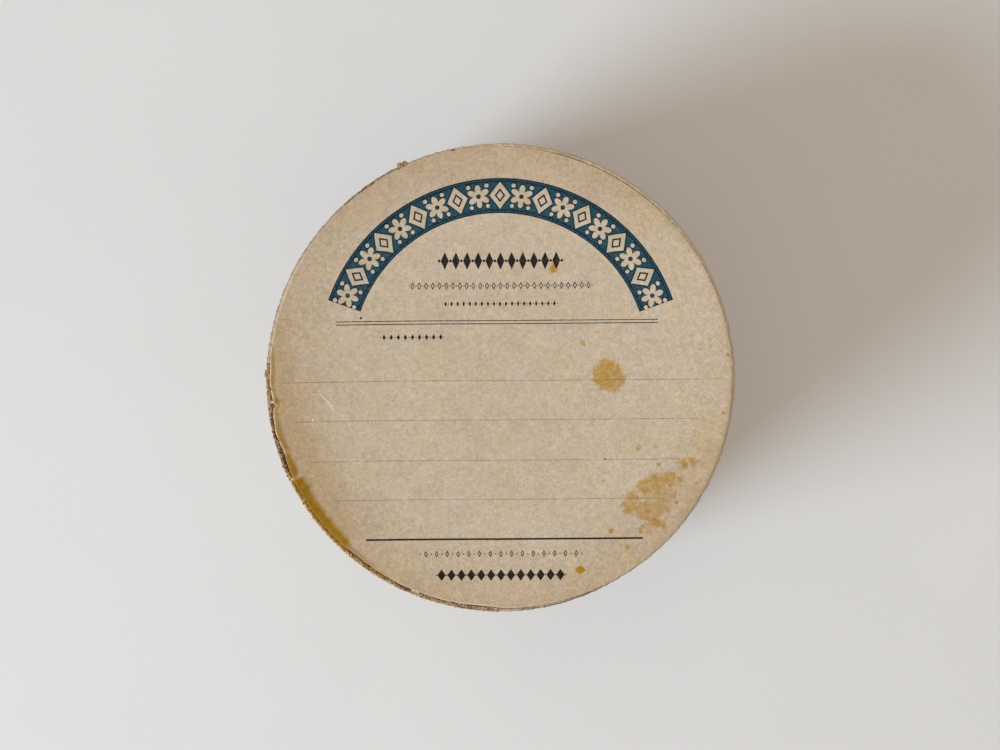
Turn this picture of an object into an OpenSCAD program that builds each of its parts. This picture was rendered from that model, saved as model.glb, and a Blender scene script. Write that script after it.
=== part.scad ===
// Round pharmacist's box of wrapped strawboard, closed, standing on its base.
// The lid sits over a neck that stands up inside the base, and lifts straight off.
// Lid and base are built alike: a strip bent into a ring, a round board pressed into one end,
// and a paper cover that is notched and turned over the board and hemmed in at the open edge.

/* [Box] */
// Outside diameter of the lid, over its paper
lid_d = 90; // [60:1:160]
// Height of the base, from the table to its open edge
base_h = 21; // [16:0.5:60]
// Height of the lid, from its open edge to the top of its label
lid_h = 17; // [13:0.5:40]
// Space between the neck's top edge and the lining of the lid
headroom = 3; // [1:0.5:6]
// Space between the neck and the lid's hem, all round
lid_play = 0.3; // [0.15:0.05:0.6]
// Space between the two open edges when the lid is on
edge_gap = 0.1; // [0.05:0.05:0.5]

/* [Board] */
// Thickness of the strip that makes the wall of the lid and of the base
wall_t = 1.2; // [0.8:0.1:2]
// Thickness of the round boards that close the lid and the base
disc_t = 1.2; // [0.8:0.1:3]
// Thickness of the neck's strip
neck_t = 0.9; // [0.6:0.1:1.5]
// Radius that the boards' edges are worn to
edge_r = 0.35; // [0.15:0.05:0.35]
// Radius along the neck's top edge
neck_edge_r = 0.25; // [0.1:0.05:0.25]
// Length of the feathered lap that joins a wall's strip to itself
lap_l = 12; // [6:1:20]
// Thickness of the glue in that lap
glue_t = 0.08; // [0.04:0.02:0.16]
// Slit between the butted ends of the neck's strip
neck_slit = 0.5; // [0.2:0.1:1.5]

/* [Paper cover] */
// Thickness of the paper that covers the lid, the base and the neck
paper_t = 0.15; // [0.08:0.01:0.2]
// How far the cover is turned over a round board
turn_w = 6; // [4:0.5:10]
// How far the cover is hemmed in at an open edge
hem_w = 6; // [3:0.5:8]
// How far the neck's cover reaches down behind the edge of the base
neck_tuck = 5; // [2:0.5:8]
// Number of tabs that the notches leave on each round board
tab_count = 48; // [24:4:72]
// Distance from the wall to the root of a notch
notch_root = 1.6; // [1:0.1:2.5]
// Width of a notch where it opens at the tabs' ends
notch_w = 3; // [1:0.1:3.2]
// Width of the seam where the cover laps over its own end
seam_w = 8; // [4:1:15]

/* [Label and linings] */
// Thickness of the label, the base paper and the linings
label_t = 0.12; // [0.08:0.01:0.2]
// Flat rim left bare between the label and the rounded edge
label_set = 0.15; // [0.05:0.05:3]
// Space left round a lining
lining_gap = 0.3; // [0.1:0.1:2]
// Width of the slope where the label dips inside the ring of tabs
dip_w = 1; // [0.4:0.1:2]

/* [Hidden] */
$fn = 180;

// From the outside of the lid inwards, to the neck, and out again to the base
lid_wall_r = lid_d / 2 - paper_t;
lid_bore_r = lid_wall_r - wall_t;
neck_cover_r = lid_bore_r - paper_t - lid_play;
neck_r = neck_cover_r - paper_t;
neck_bore_r = neck_r - neck_t;
base_bore_r = neck_cover_r + paper_t;
base_wall_r = base_bore_r + wall_t;

// A half is drawn with its open edge at z = 0 and its round board at the top
skin_t = paper_t + label_t;
lid_board_z = lid_h - skin_t;
base_board_z = base_h - skin_t;
lid_z = base_h + edge_gap;
floor_z = skin_t + disc_t;
neck_top_z = lid_z + lid_board_z - disc_t - label_t - headroom;

// Where each seam and joint lies, in degrees round the box
lid_seam_a = 116;
base_seam_a = 205;
lid_lap_a = 250;
base_lap_a = 20;
neck_slit_a = 300;

// How far round the two edges the cover's seam reaches
seam_end_a = 35;
// How far a cut runs past what it cuts
cut = 1;

straw = "#a57c48";
cover = "#cdbf9f";
white_paper = "#ded6c2";
print_paper = "#b9ab90";

function arc(x, y, r, from, to, steps = 6) = [
    for (i = [0 : steps])
        let (a = from + (to - from) * i / steps)
        [x + r * cos(a), y + r * sin(a)]
];
function polar(r, a) = [r * cos(a), r * sin(a)];
function backwards(points) = [for (i = [len(points) - 1 : -1 : 0]) points[i]];

// One face of the cover, g away from the board: tabs, rim, outside, open edge and hem
function cover_face(g, wall_r, board_z) = concat(
    [[wall_r - turn_w, board_z + g]],
    arc(wall_r - edge_r, board_z - edge_r, edge_r + g, 90, 0),
    arc(wall_r - edge_r, paper_t + edge_r, edge_r + g, 0, -90),
    arc(wall_r - wall_t + edge_r, paper_t + edge_r, edge_r + g, -90, -180),
    [[wall_r - wall_t - g, hem_w]]
);

// The outside of the cover only, where its end laps over its beginning
function seam_face(g, wall_r, board_z) = concat(
    arc(wall_r - edge_r, board_z - edge_r, edge_r + g, seam_end_a, 0),
    arc(wall_r - edge_r, paper_t + edge_r, edge_r + g, 0, -seam_end_a)
);

function neck_cover_face(g) = concat(
    [[neck_r + g, base_h - neck_tuck]],
    arc(neck_r - neck_edge_r, neck_top_z - neck_edge_r, neck_edge_r + g, 0, 90),
    arc(neck_bore_r + neck_edge_r, neck_top_z - neck_edge_r, neck_edge_r + g, 90, 180),
    [[neck_bore_r - g, floor_z + label_t]]
);

// A strip bent into a ring, its two ends feathered and glued one over the other
module bent_wall(wall_r, board_z) {
    bore_r = wall_r - wall_t;
    difference() {
        rotate_extrude()
            polygon(concat(
                arc(bore_r + edge_r, paper_t + edge_r, edge_r, 180, 270),
                arc(wall_r - edge_r, paper_t + edge_r, edge_r, 270, 360),
                arc(wall_r - edge_r, board_z - edge_r, edge_r, 0, 90),
                [[bore_r, board_z]]
            ));
        translate([0, 0, -cut])
            linear_extrude(height = board_z + 2 * cut)
                glue_line(bore_r, wall_r);
    }
}

module glue_line(bore_r, wall_r) {
    lap_a = lap_l / wall_r * 180 / PI;
    through = [-0.2 : 0.1 : 1.2];
    inner = [for (u = through) polar(bore_r + u * wall_t - glue_t / 2, u * lap_a)];
    outer = [for (u = through) polar(bore_r + u * wall_t + glue_t / 2, u * lap_a)];
    polygon(concat(inner, backwards(outer)));
}

// The paper cover of one half, with its ring of tabs, its hem and its seam
module paper_cover(wall_r, board_z) {
    difference() {
        rotate_extrude()
            polygon(concat(
                cover_face(paper_t, wall_r, board_z),
                backwards(cover_face(0, wall_r, board_z))
            ));
        translate([0, 0, board_z - cut / 2])
            linear_extrude(height = cut)
                notches(wall_r);
    }
    rotate_extrude(angle = seam_w / wall_r * 180 / PI)
        polygon(concat(
            seam_face(2 * paper_t, wall_r, board_z),
            backwards(seam_face(paper_t, wall_r, board_z))
        ));
}

// A star whose points are the notches and whose waist lies inside the ends of the tabs
module notches(wall_r) {
    root_r = wall_r - notch_root;
    end_r = wall_r - turn_w;
    tab_a = 180 / tab_count;
    open_a = notch_w / 2 / end_r * 180 / PI;
    waist_r = root_r - (root_r - end_r) * tab_a / open_a;
    polygon([for (i = [0 : 2 * tab_count - 1]) polar(i % 2 == 0 ? root_r : waist_r, i * tab_a)]);
}

// A paper disc glued over the ring of tabs, dipping to the board inside it
module glued_paper(wall_r, board_z) {
    tab_r = wall_r - turn_w;
    rim_r = wall_r - edge_r - label_set;
    rotate_extrude()
        polygon([
            [0, board_z],
            [tab_r - dip_w, board_z],
            [tab_r, board_z + paper_t],
            [rim_r, board_z + paper_t],
            [rim_r, board_z + skin_t],
            [tab_r, board_z + skin_t],
            [tab_r - dip_w, board_z + label_t],
            [0, board_z + label_t]
        ]);
}

module pressed_disc(bore_r, board_z) {
    translate([0, 0, board_z - disc_t])
        cylinder(r = bore_r, h = disc_t);
}

// Turns a half over, so that its round board is its floor
module upside_down() {
    translate([0, 0, base_h])
        rotate([180, 0, 0])
            children();
}

module base_paper() {
    color(white_paper)
        upside_down() glued_paper(base_wall_r, base_board_z);
}

module base_wrap() {
    color(cover)
        rotate([0, 0, base_seam_a])
            upside_down() paper_cover(base_wall_r, base_board_z);
}

module base_wall() {
    color(straw)
        rotate([0, 0, base_lap_a])
            upside_down() bent_wall(base_wall_r, base_board_z);
}

module base_disc() {
    color(straw)
        upside_down() pressed_disc(base_bore_r, base_board_z);
}

module base_lining() {
    color(white_paper)
        translate([0, 0, floor_z])
            cylinder(r = neck_bore_r - paper_t - lining_gap, h = label_t);
}

// A thinner strip, butted end to end, that stands on the floor and rises above the base
module neck() {
    color(straw)
        difference() {
            rotate_extrude()
                polygon(concat(
                    [[neck_bore_r, floor_z], [neck_r, floor_z]],
                    arc(neck_r - neck_edge_r, neck_top_z - neck_edge_r, neck_edge_r, 0, 90),
                    arc(neck_bore_r + neck_edge_r, neck_top_z - neck_edge_r, neck_edge_r, 90, 180)
                ));
            rotate([0, 0, neck_slit_a])
                translate([neck_bore_r - cut, -neck_slit / 2, floor_z - cut])
                    cube([neck_t + 2 * cut, neck_slit, neck_top_z - floor_z + 2 * cut]);
        }
}

// White paper over the neck: outside it, over its top edge and down its inside to the floor
module neck_cover() {
    color(white_paper)
        rotate_extrude()
            polygon(concat(neck_cover_face(paper_t), backwards(neck_cover_face(0))));
}

module lid_wall() {
    color(straw)
        translate([0, 0, lid_z])
            rotate([0, 0, lid_lap_a])
                bent_wall(lid_wall_r, lid_board_z);
}

module lid_disc() {
    color(straw)
        translate([0, 0, lid_z])
            pressed_disc(lid_bore_r, lid_board_z);
}

module lid_wrap() {
    color(cover)
        translate([0, 0, lid_z])
            rotate([0, 0, lid_seam_a])
                paper_cover(lid_wall_r, lid_board_z);
}

module lid_lining() {
    color(white_paper)
        translate([0, 0, lid_z + lid_board_z - disc_t - label_t])
            cylinder(r = lid_bore_r - lining_gap, h = label_t);
}

module lid_label() {
    color(print_paper)
        translate([0, 0, lid_z])
            glued_paper(lid_wall_r, lid_board_z);
}

base_paper();
base_wrap();
base_wall();
base_disc();
base_lining();
neck();
neck_cover();
lid_wall();
lid_disc();
lid_wrap();
lid_lining();
lid_label();
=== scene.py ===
import math

import bmesh
import bpy
import numpy as np
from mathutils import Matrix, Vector, geometry, noise


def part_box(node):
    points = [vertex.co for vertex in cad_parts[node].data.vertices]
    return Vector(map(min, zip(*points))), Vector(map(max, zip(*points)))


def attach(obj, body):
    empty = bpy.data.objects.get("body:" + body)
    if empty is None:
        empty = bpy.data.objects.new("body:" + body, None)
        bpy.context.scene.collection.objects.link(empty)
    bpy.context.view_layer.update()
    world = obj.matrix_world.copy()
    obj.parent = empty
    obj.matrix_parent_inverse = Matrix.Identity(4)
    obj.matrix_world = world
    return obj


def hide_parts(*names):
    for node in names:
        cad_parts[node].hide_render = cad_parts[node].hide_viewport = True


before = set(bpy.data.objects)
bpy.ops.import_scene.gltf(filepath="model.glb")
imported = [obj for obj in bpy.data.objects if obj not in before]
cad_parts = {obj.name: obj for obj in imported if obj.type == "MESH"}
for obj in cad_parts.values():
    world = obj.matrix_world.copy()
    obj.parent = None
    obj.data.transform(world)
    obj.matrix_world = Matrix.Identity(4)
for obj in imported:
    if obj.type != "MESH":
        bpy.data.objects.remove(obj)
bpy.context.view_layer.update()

mm = 0.001  # lengths below are in millimetres
paper = 0.15  # thickness of the cover paper
fold = 0.5  # rounding of the paper where it goes over an edge of the board
tabs = 48  # notched tabs round each cover
tabPitch = 2 * math.pi / tabs


# Reading the frame

def ring(nodeName):  # radius and lowest and highest point of a CAD node
    low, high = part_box(nodeName)
    return {"r": round(high.x / mm, 2), "low": round(low.z / mm, 2), "high": round(high.z / mm, 2)}


lid = ring("lid_wrap")
lidBoard = ring("lid_wall")
label = ring("lid_label")
lidLining = ring("lid_lining")
base = ring("base_wrap")
baseLining = ring("base_lining")
neckPaper = ring("neck_cover")


# Lines that run round the box, by angle from +X

def turn(steps):
    return np.arange(steps) * 2 * math.pi / steps


def byAngle(a, stops):  # a value round the box from (degrees, value) stops
    deg, value = np.array(stops, float).T
    return np.interp(np.degrees(a) % 360, deg, value, period=360)


def zone(a, start, end, soft=1.0):  # 1 between two angles in degrees, soft at both ends
    deg = np.degrees(a) % 360
    return np.clip(np.minimum(deg - start, end - deg) / soft + 0.5, 0, 1)


def zones(a, rows):  # the highest of several zones of (start, end, soft, height)
    return np.max([height * zone(a, start, end, soft) for start, end, soft, height in rows], axis=0)


def tornLine(a, seed, *sizes):  # random line round the box, sizes are (bumps round it, height)
    rng = np.random.default_rng(seed)
    line = np.zeros(np.shape(a))
    for bumps, height in sizes:
        knots = rng.uniform(-1, 1, bumps)
        at = (a / (2 * math.pi) * bumps) % bumps
        line += height * np.interp(at, np.arange(bumps + 1), np.append(knots, knots[0]))
    return line


def cloud(points, size, seed, octaves=3):  # smooth random field in space, about -1 to 1
    shift = Vector((seed * 7.31, seed * 3.17, seed * 5.53))
    flat = np.asarray(points, float).reshape(-1, 3) / size
    found = [noise.fractal(Vector(p) + shift, 1.0, 2.0, octaves) for p in flat]
    return np.array(found).reshape(np.shape(points)[:-1])


def ease(x):  # 0 to 1 with soft ends
    x = np.clip(x, 0, 1)
    return x * x * (3 - 2 * x)


wear = {  # round the lid: (degrees, value) stops, and zones of (start, end, soft, strength)
    "outsideFrom": (43.9, 0.7),  # radius from which the outside leaves the circle, and how softly
    "outOfRound": [(0, 0.17), (45, 0.12), (75, 0.0), (95, -0.12), (120, -0.21), (160, -0.2),
                   (182, -0.02), (200, 0.1), (215, 0.02), (235, 0.05), (255, 0.03), (275, 0.12),
                   (300, -0.02), (330, 0.1)],
    "labelEdge": [(0, 44.5), (30, 44.4), (45, 44.2), (70, 44.08), (90, 44.2), (112, 44.35), (150, 44.28),
                  (165, 44.35), (175, 44.3), (178, 44.12), (180, 44.2), (183, 44.08), (186, 43.88),
                  (187.4, 43.72), (188, 43.98), (190, 44.22), (193, 44.38), (196, 44.25), (199, 43.85),
                  (201, 44.1), (207, 44.3), (228, 44.28), (229.5, 44.0), (234, 43.97), (240, 44.12),
                  (246, 44.15), (256, 44.22), (262, 44.08), (268, 44.05), (270, 44.3), (276, 44.45),
                  (300, 44.5), (345, 44.5)],
    "rimWorn": [(186, 269, 3, 1.0), (123, 127.2, 1.0, 1.0), (129.2, 131.6, 1.0, 0.9),
                (113.7, 116, 1, 0.6), (101.2, 101.9, 0.6, 0.5), (177, 187, 2.0, 0.8)],
    "nick": (187.2, 0.45, 0.45),  # tear in the label's edge: degrees, half width, depth
    # strength of the label's pale cut edge: partly the paper's core, partly a painted highlight
    "labelEdgeLight": [(0, 0.6), (40, 0.7), (50, 0.3), (60, 0.1), (75, 0.3), (105, 0.3), (140, 0.15),
                       (154, 0.5), (160, 0.85), (182, 0.8), (199, 0.8), (200, 0.1), (246, 0.1),
                       (247.5, 0.6), (249.5, 0.6), (251, 0.2), (262, 0.3), (280, 0.1), (345, 0.3)],
    "labelTurned": [(0, 0.4), (45, 0.3), (50, 0.0), (112, 0.0), (140, 0.3), (155, 0.8), (160, 1.0),
                    (199, 1.0), (201, 0.4), (245, 0.4), (260, 0.7), (268, 0.7), (275, 0.3), (345, 0.3)],
    "labelStain": [(168, 0), (175, 1.0), (180, 1.3), (184, 1.0), (190, 1.2), (194, 1.7), (198, 1.5),
                   (200, 1.6), (203, 1.9), (205.6, 1.9), (206.3, 1.2), (207, 2.5), (210, 2.7),
                   (213, 2.45), (222, 2.2), (227, 2.1), (229, 1.0), (236, 0.7), (246, 0)],
    "stainStrength": [(168, 0), (175, 0.55), (180, 0.65), (184, 0.45), (190, 0.55), (195, 0.75),
                      (200, 0.65), (203, 0.95), (205.6, 1.0), (206.3, 0.4), (207, 1.0), (227, 1.0),
                      (229, 0.6), (240, 0.35), (246, 0)],
    "foldPale": [(0, 0.7), (42, 0.8), (48, 1.0), (68, 0.95), (72, 0.7), (76, 0.85), (80, 1.0),
                 (102, 1.0), (112, 0.85), (118, 0.7), (175, 0.5), (269, 0.2), (276, 0.25), (293, 0.35),
                 (300, 0.75), (345, 0.75)],
    "foldDark": [(0, 0.15), (45, 0.1), (48, 0.0), (101, 0.0), (103, 0.45), (112, 0.5), (117, 0.8),
                 (175, 0.85), (180, 0.6), (269, 0.6), (274, 0.8), (278, 1.0), (293, 0.95), (296, 0.65),
                 (310, 0.5), (325, 0.55), (345, 0.3)],
    "boardDark": [(0, 0.3), (122, 0.4), (123, 0.8), (132, 0.8), (133, 0.3), (177, 0.6), (184, 0.2),
                  (186.5, 0.6), (188, 1.4), (196, 1.2), (201, 1.6), (203.5, 1.2), (205, 0.5),
                  (207, -0.3), (220, -0.2), (228, 0.0), (229.5, 1.2), (231.5, 0.6), (233.5, 0.1),
                  (234.6, 1.3), (236, 0.1), (239, 0.2), (240.5, 0.8), (242, 0.2), (244, 1.0),
                  (246.5, 1.1), (248, 0.3), (251, 0.1), (253, 0.9), (254.5, 0.2), (257, 0.6), (262, 0.7),
                  (268, 0.6), (271, 0.0)],
    # how dark the crack between the board and the label is painted: painted shade with some dirt
    "crackShadeAndDirt": [(0, 1.0), (176, 0.5), (186, 1.0), (201, 1.0), (206, 0.2), (228, 0.2), (229, 1.0),
                  (246, 0.8), (250, 0.4), (256, 1.2), (268, 1.3), (271, 0.5)],
    "boardOiled": [(174, 0.0), (177, 0.6), (184, 0.5), (188, 0.2), (199, 0.2), (203, 0.8), (208, 1.0),
                   (228, 1.0), (230, 0.5), (246, 0.45), (252, 0.2), (270, 0.2), (276, 0.0)],
    "labelAged": [(0, 0.15), (35, 0.05), (55, 0.6), (90, 0.6), (125, 0.6), (150, 0.35), (170, 0.9),
                  (195, 1.35), (215, 1.4), (235, 0.65), (265, 0.5), (300, 0.55), (330, 0.75),
                  (345, 0.5)],
    # how strong the dark line in the gap at the label's edge is: painted shade with some dirt
    "gapShadeAndDirt": [(0, 0.2), (44, 0.2), (48, 0.5), (68, 0.45), (72, 0.6), (76, 0.5), (79, 0.25), (98, 0.25),
                (102, 0.3), (104, 0.3), (112, 0.2), (117, 0.5), (132, 0.6), (150, 0.4), (180, 0.4),
                (269, 0.6), (275, 0.5), (293, 0.3), (302, 0.2), (345, 0.2)],
}


def rimWornAt(a):
    return zones(a, wear["rimWorn"])


def outOfRound(a, r):  # the lid's outside isn't quite a circle
    fromR, wide = wear["outsideFrom"]
    return byAngle(a, wear["outOfRound"]) * ease((r - fromR) / wide)


def labelRadius(a):
    worn = rimWornAt(a)
    r = byAngle(a, wear["labelEdge"]) + tornLine(a, 11, (90, 0.025), (400, 0.015))
    r += worn * tornLine(a, 12, (150, 0.06), (500, 0.05))
    at, half, deep = wear["nick"]
    return r - deep * np.clip(1 - np.abs(np.degrees(a) - at) / half, 0, 1)


# Meshes

def addPiece(name, points, faces, material, body, replaced=(), marks=None, sharp=38):
    mesh = bpy.data.meshes.new(name)
    mesh.from_pydata((np.asarray(points).reshape(-1, 3) * mm).tolist(), [], faces)
    for markName, values in (marks or {}).items():  # read by the materials
        mark = mesh.attributes.new(markName, "FLOAT", "POINT")
        mark.data.foreach_set("value", np.asarray(values, np.float32).ravel())
    solid = bmesh.new()
    solid.from_mesh(mesh)
    bmesh.ops.delete(solid, geom=[v for v in solid.verts if not v.link_faces], context="VERTS")
    bmesh.ops.recalc_face_normals(solid, faces=solid.faces[:])
    solid.to_mesh(mesh)
    solid.free()
    mesh.shade_smooth()
    mesh.set_sharp_from_angle(angle=math.radians(sharp))
    mesh.materials.append(material)
    piece = bpy.data.objects.new(name, mesh)
    bpy.context.scene.collection.objects.link(piece)
    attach(piece, body)
    if replaced:
        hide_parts(*replaced)
    print(f"{name}: {len(mesh.polygons)} faces")
    return piece


def sheetFaces(turns, lines, holes=None, closed=True):  # both sides and all edges of a sheet
    across = turns if closed else turns - 1
    kept = np.ones((across, lines - 1), bool) if holes is None else ~holes[:across]
    under = turns * lines

    def at(i, j):
        return (i % turns) * lines + j

    i, j = np.nonzero(kept)
    front = np.stack([at(i, j), at(i, j + 1), at(i + 1, j + 1), at(i + 1, j)], 1)
    faces = [front, front[:, ::-1] + under]
    around = np.zeros((across + 2, lines + 1), bool)
    around[1:-1, 1:-1] = kept
    if closed:
        around[0, 1:-1], around[-1, 1:-1] = kept[-1], kept[0]
    for di, dj, start, end in ((0, -1, (0, 0), (1, 0)), (0, 1, (0, 1), (1, 1)),
                               (-1, 0, (0, 0), (0, 1)), (1, 0, (1, 0), (1, 1))):
        i, j = np.nonzero(kept & ~around[1 + di:across + 1 + di, 1 + dj:lines + dj])
        p, q = at(i + start[0], j + start[1]), at(i + end[0], j + end[1])
        faces.append(np.stack([p, q, q + under, p + under], 1))
    return np.concatenate(faces).tolist()


def bothSides(marks):  # the same marks for the front and the back of a sheet
    return {key: np.tile(np.ravel(value), 2) for key, value in marks.items()}


def roundPoints(r, a, z):  # points from radius, angle and height
    return np.stack(np.broadcast_arrays(r * np.cos(a), r * np.sin(a), z), -1)


def spread(stops, counts):  # sheet lines: counts[k] steps from stops[k] to stops[k + 1]
    lines = [stops[0]]
    for start, end, count in zip(stops, stops[1:], counts):
        lines += [start + (end - start) * t for t in np.linspace(0, 1, count + 1)[1:]]
    return np.stack(lines, 1)


class Profile:  # a line in the r, z plane with its normals, read by the length along it
    def __init__(self):
        self.rows, self.marks = [], {}

    def line(self, start, end, normal):
        self.rows += [(*start, *normal), (*end, *normal)]
        return self

    def bend(self, centre, radius, fromDeg, toDeg):
        for deg in np.linspace(fromDeg, toDeg, 17):
            c, s = math.cos(math.radians(deg)), math.sin(math.radians(deg))
            self.rows.append((centre[0] + radius * c, centre[1] + radius * s, c, s))
        return self

    def lengths(self):
        r, z = np.array(self.rows).T[:2]
        return np.concatenate([[0], np.cumsum(np.maximum(np.hypot(np.diff(r), np.diff(z)), 1e-9))])

    def mark(self, name):  # remembers the length reached
        self.marks[name] = self.lengths()[-1]
        return self

    def read(self, s):
        return [np.interp(s, self.lengths(), column) for column in np.array(self.rows).T]


# Lid cover and base cover: paper hemmed over the open edge, up the wall and over the face in tabs

def coverProfile(s):  # from the hem inside, round the open edge and the rim
    outR, hemR, high = s["r"], s["hemR"], s["height"]
    path = Profile().line((hemR, s["hem"]), (hemR, fold), (-1, 0)).mark("hemEnd")
    path.bend((hemR + fold, fold), fold, 180, 270)
    path.bend((outR - fold, fold), fold, 270, 360).mark("wallStart")
    path.line((outR, fold), (outR, high - fold), (1, 0)).mark("wallEnd")
    path.bend((outR - fold, high - fold), fold, 0, 90).mark("rimEnd")
    path.line((outR - fold, high), (s["flangeR"], high), (0, 1)).mark("end")
    return path


def lapAt(a, seam):  # the strip where a sheet laps itself: it climbs slowly and ends in a cut edge
    deg = np.degrees(a) % 360
    return ease((deg - seam[0]) / 2) * np.clip((seam[1] - deg) / 0.3, 0, 1)


coverMake = {  # what both covers share, in millimetres
    "torn": ((110, 0.10), (320, 0.07), (960, 0.03)),  # bumps round the box and their height
    "tornShares": (1.5, 0.6),  # how much of it the lower and the upper side of a worn place take
    "slit": 0.04,  # half width of the slot where the paper is whole
    "openUp": 0.5,  # the worn line of the open edge lies this far up the wall
    "tabRoot": 1.25,  # the notches end this far in from the rim
    "tucked": 0.12,  # the worn cover stays this far under the label
    "counts": (3, 5, 1, 5, 12, 6, 1, 8, 3, 4),  # steps from line to line, from the hem to the tabs' ends
    "gone": 0.12,  # the slot opens where the wear is stronger than this
}


def makeCover(name, s, material, body, replaced):
    steps, c = s["steps"], coverMake
    a0 = turn(steps) + math.pi / steps
    path = coverProfile(s)
    m = path.marks
    openEdge, rimEdge = (m["hemEnd"] + m["wallStart"]) / 2 + c["openUp"], (m["wallEnd"] + m["rimEnd"]) / 2
    # each edge has a slot that is closed where the paper is whole and ragged where it is worn away
    openWorn, rimWorn = zones(a0, s["openWorn"]), zones(a0, s["rimWorn"])
    torn = [tornLine(a0, s["seed"] + k, *c["torn"]) for k in range(4)]
    slots = []
    for k, (middle, worn, (down, up)) in enumerate(((openEdge, openWorn, s["openWear"]),
                                                    (rimEdge, rimWorn, s["rimWear"]))):
        some = np.minimum(worn * 3, 1)
        slots.append((middle - c["slit"] - worn * down + torn[2 * k] * c["tornShares"][0] * some,
                      middle + c["slit"] + worn * up + torn[2 * k + 1] * c["tornShares"][1] * some))
    (openDown, openUp), (rimDown, rimUp) = slots
    if s["faceEdge"]:  # worn back under the label
        under = m["rimEnd"] + s["r"] - fold + 0.7 * outOfRound(a0, s["r"]) - s["faceEdge"](a0) + c["tucked"]
        rimUp = np.where(rimWorn > 0.3, np.maximum(rimUp, under), rimUp)
    tabStart = m["rimEnd"] + c["tabRoot"]
    stops = [0, m["hemEnd"], openDown, openUp, m["wallStart"] + 0.9, m["wallEnd"] - 0.9, rimDown,
             np.minimum(rimUp, tabStart - 0.5), tabStart - 0.45, tabStart, m["end"]]
    counts = c["counts"]
    along = spread([stop + 0 * a0 for stop in stops], counts)
    r, z, nr, nz = path.read(along)
    a = a0[:, None] + 0 * along
    if s["faceEdge"]:
        r = r + outOfRound(a, r)
    rootR = s["r"] - fold - c["tabRoot"]
    share = (a % tabPitch) / tabPitch - 0.5
    deep = np.clip((rootR - r) / (rootR - s["flangeR"]), 0, 1) * (along > tabStart)
    a = a - share * deep * s["notch"] / s["flangeR"]  # the tabs grow narrower inwards
    where = roundPoints(r, a, z)
    wall = ease((along - m["hemEnd"]) / 3) * (nr > 0.2)  # only the wall is wavy, not the glued hem
    wavy = cloud(where, s["waveSize"], s["seed"]) + 0.3 * cloud(where, 1.7, s["seed"] + 1, 2)
    lift = wall * s["wave"] * wavy
    pleated = ease((along - m["wallEnd"] + 0.7) / 0.8) * ease((tabStart - along) / 0.9)
    creases = np.sin(a * tabs * 2 + 2.2 * np.sin(a * 17))  # two to a tab, unevenly spaced, and finer ones
    creases = creases + 0.8 * np.sin(a * tabs * 5 + 3 * np.sin(a * 9))
    lift = lift + s["pleat"] * creases * pleated
    lap = lapAt(a, s["seam"]) * ease((along - m["hemEnd"] - 1) / 1.2) * ease((m["rimEnd"] - along) / 0.7)
    lift = lift + lap * paper
    back = lift * (1 - 0.9 * lap) - paper
    flip = s["up"]
    sides = [roundPoints(r + nr * d, a, s["edgeZ"] + flip * (z + nz * d)) for d in (lift, back)]
    holes = np.zeros((steps, along.shape[1] - 1), bool)
    for column, worn in ((sum(counts[:2]), openWorn), (sum(counts[:6]), rimWorn)):
        holes[:, column] = np.maximum(worn, np.roll(worn, -1)) > c["gone"]
    lastInTab = (np.arange(steps) % (steps // tabs) == steps // tabs - 1)[:, None]
    holes |= lastInTab & (along[:, :-1] >= tabStart - 1e-6)
    nearOpen, nearRim = np.abs(along - openEdge), np.abs(along - rimEdge)
    dirty = byAngle(a, s["foldDark"])
    marks = {
        "worn": np.maximum(openWorn[:, None] * np.exp(-nearOpen / 1.2),
                           rimWorn[:, None] * np.exp(-nearRim / 1.0)),
        "rubbed": np.exp(-(nearOpen / 0.6) ** 2) + np.exp(-(nearRim / 0.5) ** 2),
        "seam": np.minimum(np.abs(np.degrees(a) % 360 - s["seam"][1]), 2),
        "labelGap": np.where(along > m["wallEnd"], r - s["labelR"](a0)[:, None], 9),
        "gapShadeAndDirt": byAngle(a, s["gapShadeAndDirt"]) + 0 * along,
        "pale": byAngle(a, s["foldPale"]) * ease((1.25 - nearRim) / 0.75),
        "foldDark": dirty * ease((rimEdge + 0.04 + 0.26 * dirty - along) / 0.3)
        * ease((along - m["wallEnd"] + 0.9) / 0.7),
    }
    faces = sheetFaces(*along.shape, holes)
    return addPiece(name, sides, faces, material, body, replaced, bothSides(marks))


# Discs of paper: label, linings and foot paper

def discSheet(steps, innerR, edge, shares):  # radius and angle of each point, and the faces of both sides
    a0, lines = turn(steps), len(shares)
    r = innerR + (edge[:, None] - innerR) * np.array(shares)
    rings = [(innerR, steps), (innerR - 0.3, steps // 2), (innerR - 0.8, steps // 4)]
    reach = innerR - 1.6
    while reach > 0.6:  # about a millimetre between points towards the middle
        rings.append((reach, max(5, int(2 * math.pi * reach))))
        reach -= 0.95
    flat = np.array([(ringR, 2 * math.pi * (k + 0.37 * (ringR < innerR)) / n)  # each ring turned a little
                     for ringR, n in rings for k in range(n)])
    spots = [Vector((q * math.cos(b), q * math.sin(b))) for q, b in flat]
    _, _, triangles, origins, _, _ = geometry.delaunay_2d_cdt(spots, [], [], 0, 1e-6)
    grid = steps * lines

    def place(k):
        k = origins[k][0]
        return k * lines if k < steps else grid + k - steps

    front = [[place(k) for k in triangle] for triangle in triangles]
    count = grid + len(flat) - steps
    for i in range(steps):
        p, q = i * lines, (i + 1) % steps * lines
        front += [[p + j, p + j + 1, q + j + 1, q + j] for j in range(lines - 1)]
    back = [[k + count for k in face[::-1]] for face in front]
    last = lines - 1
    rimFaces = []
    for i in range(steps):
        p, q = i * lines + last, (i + 1) % steps * lines + last
        rimFaces.append([p, q, q + count, p + count])
    allR = np.concatenate([r.ravel(), flat[steps:, 0]])
    allA = np.concatenate([np.repeat(a0, lines), flat[steps:, 1]])
    return allR, allA, front + back + rimFaces


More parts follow.
